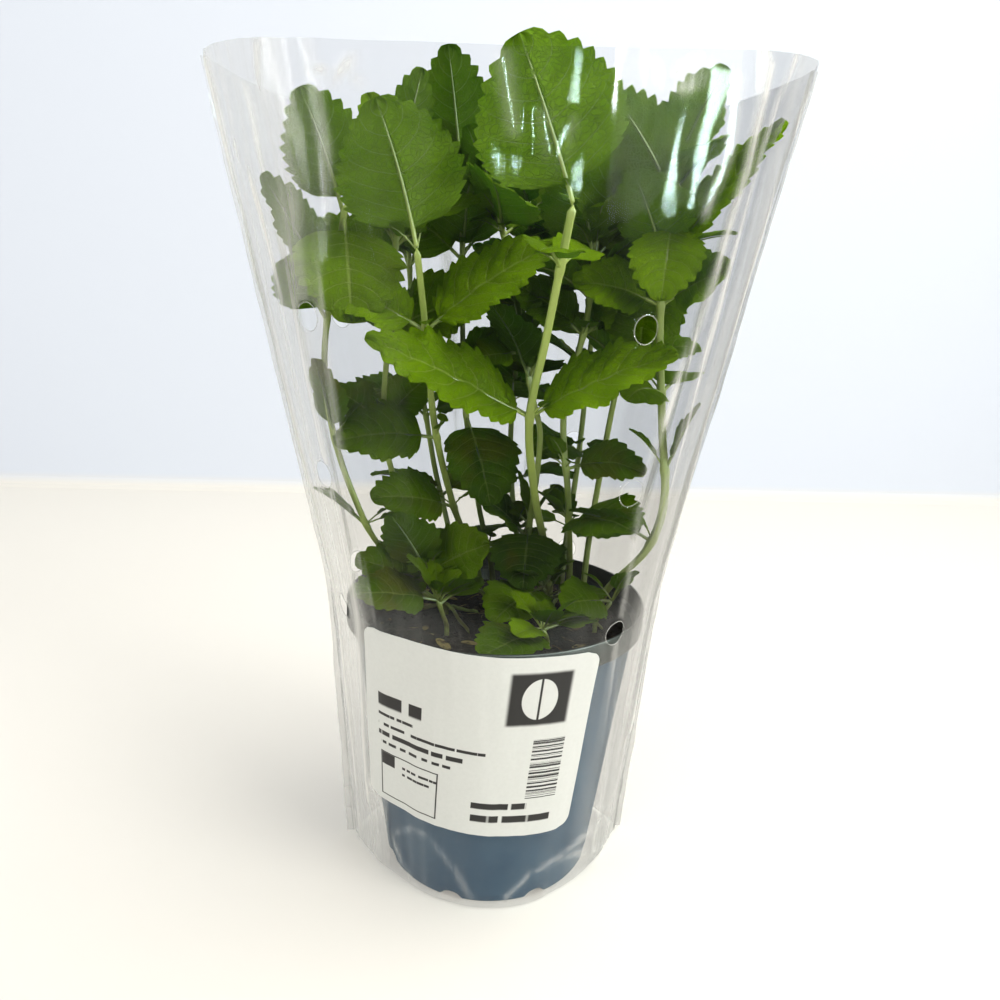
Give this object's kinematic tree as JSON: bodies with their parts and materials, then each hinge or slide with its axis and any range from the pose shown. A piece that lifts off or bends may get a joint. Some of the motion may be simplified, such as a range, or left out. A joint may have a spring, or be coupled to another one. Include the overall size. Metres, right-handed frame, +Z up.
{
  "type": "potted mint plant",
  "caption": "Potted mint in a tapered plastic pot, standing in a clear conical film sleeve with a blank-style label on its front.",
  "frame": {"origin": "centre of the pot's foot, on the surface that the pot stands on", "axes": "+Z up along the pot's axis; -Y out of the sleeve's labelled front sheet; -X and +X to its two welded seams"},
  "size_m": [0.2128, 0.1265, 0.3139],
  "materials": {
    "pot": "satin blue moulded plastic",
    "soil": "damp peat, rough and crumbly",
    "leaf": "living leaf and green stem, satin",
    "shoot": "young leaf and pale runner, satin",
    "film": "clear thin film, glossy and creased",
    "label": null
  },
  "bodies": {
    "root": {"pot": "pot", "soil": "soil", "stem_front_centre": "leaf", "stem_front_left": "leaf", "stem_right": "leaf", "stem_left": "leaf", "stem_far_left": "leaf", "stem_mid_left": "leaf", "stem_mid": "leaf", "stem_mid_right": "leaf", "stem_behind_right": "leaf", "stem_back_left": "leaf", "stem_back": "leaf", "stem_back_right": "leaf", "shoot_front": "shoot", "shoot_near": "shoot", "shoot_left": "shoot", "shoot_near_left": "shoot", "shoot_right": "shoot", "sleeve": "film", "label": "label"}
  },
  "joints": []
}
